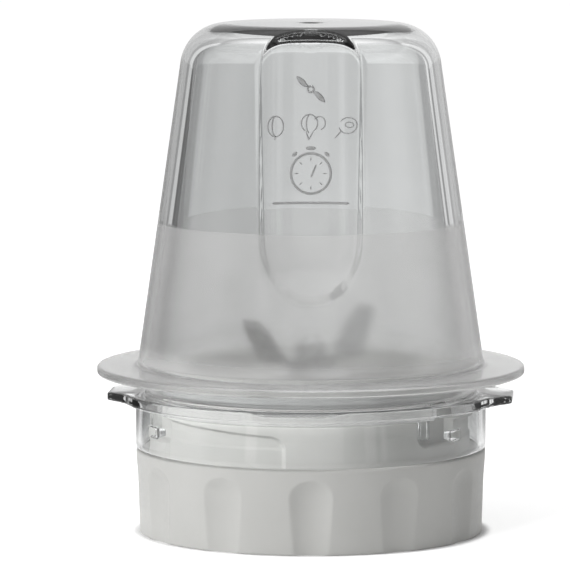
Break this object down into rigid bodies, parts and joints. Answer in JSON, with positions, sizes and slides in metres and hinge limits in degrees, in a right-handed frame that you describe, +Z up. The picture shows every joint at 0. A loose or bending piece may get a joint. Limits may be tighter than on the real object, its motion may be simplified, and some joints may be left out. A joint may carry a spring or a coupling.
{
  "type": "food processor mill attachment",
  "caption": "Inverted clear beaker on a round fluted grey base with blades inside, joined by a clear locking collar with side tabs.",
  "frame": {"origin": "centre of the foot on the surface the base stands on, on the common axis of base, collar and beaker", "axes": "+Z up along the axis, -Y the front, where the beaker's finger groove is, +X to the viewer's right"},
  "size_m": [0.13, 0.13, 0.1547],
  "materials": {
    "beaker_plastic": "clear above, fine frost below",
    "collar_plastic": "clear, polished",
    "grey_plastic": "fine moulded texture",
    "stainless": "turned",
    "blade_steel": "brushed, ground edges",
    "bush_bronze": "sintered",
    "seal_rubber": "satin silicone",
    "coupling_plastic": "glass-filled nylon"
  },
  "bodies": {
    "base": {"base_shell": "grey_plastic", "blade_carrier": "grey_plastic", "carrier_screws": "stainless", "bearing_housing": "stainless", "housing_gasket": "seal_rubber", "housing_nut": "stainless", "upper_bush": "bush_bronze", "lower_bush": "bush_bronze", "shaft_seal": "seal_rubber", "beaker_seal": "seal_rubber"},
    "rotor": {"drive_shaft": "stainless", "thrust_washer_top": "stainless", "lower_blade": "blade_steel", "blade_spacer": "stainless", "upper_blade": "blade_steel", "spring_washer": "stainless", "blade_nut": "stainless", "thrust_washer_bottom": "stainless", "retaining_clip": "stainless", "coupling_core": "stainless", "coupling_pin": "stainless", "drive_coupling": "coupling_plastic"},
    "beaker": {"beaker": "beaker_plastic"},
    "collar": {"locking_collar": "collar_plastic"}
  },
  "joints": [
    {"name": "blade_spin", "type": "hinge", "parent": "base", "child": "rotor", "pos_m": [0, 0, 0.05], "axis": [0, 0, 1], "continuous": true},
    {"name": "beaker_lift", "type": "slide", "parent": "base", "child": "beaker", "axis": [0, 0, 1], "range_m": [0, 0.045]},
    {"name": "collar_turn", "type": "hinge", "parent": "beaker", "child": "collar", "pos_m": [0, 0, 0.0325], "axis": [0, 0, 1], "range_deg": [0, 45]}
  ]
}
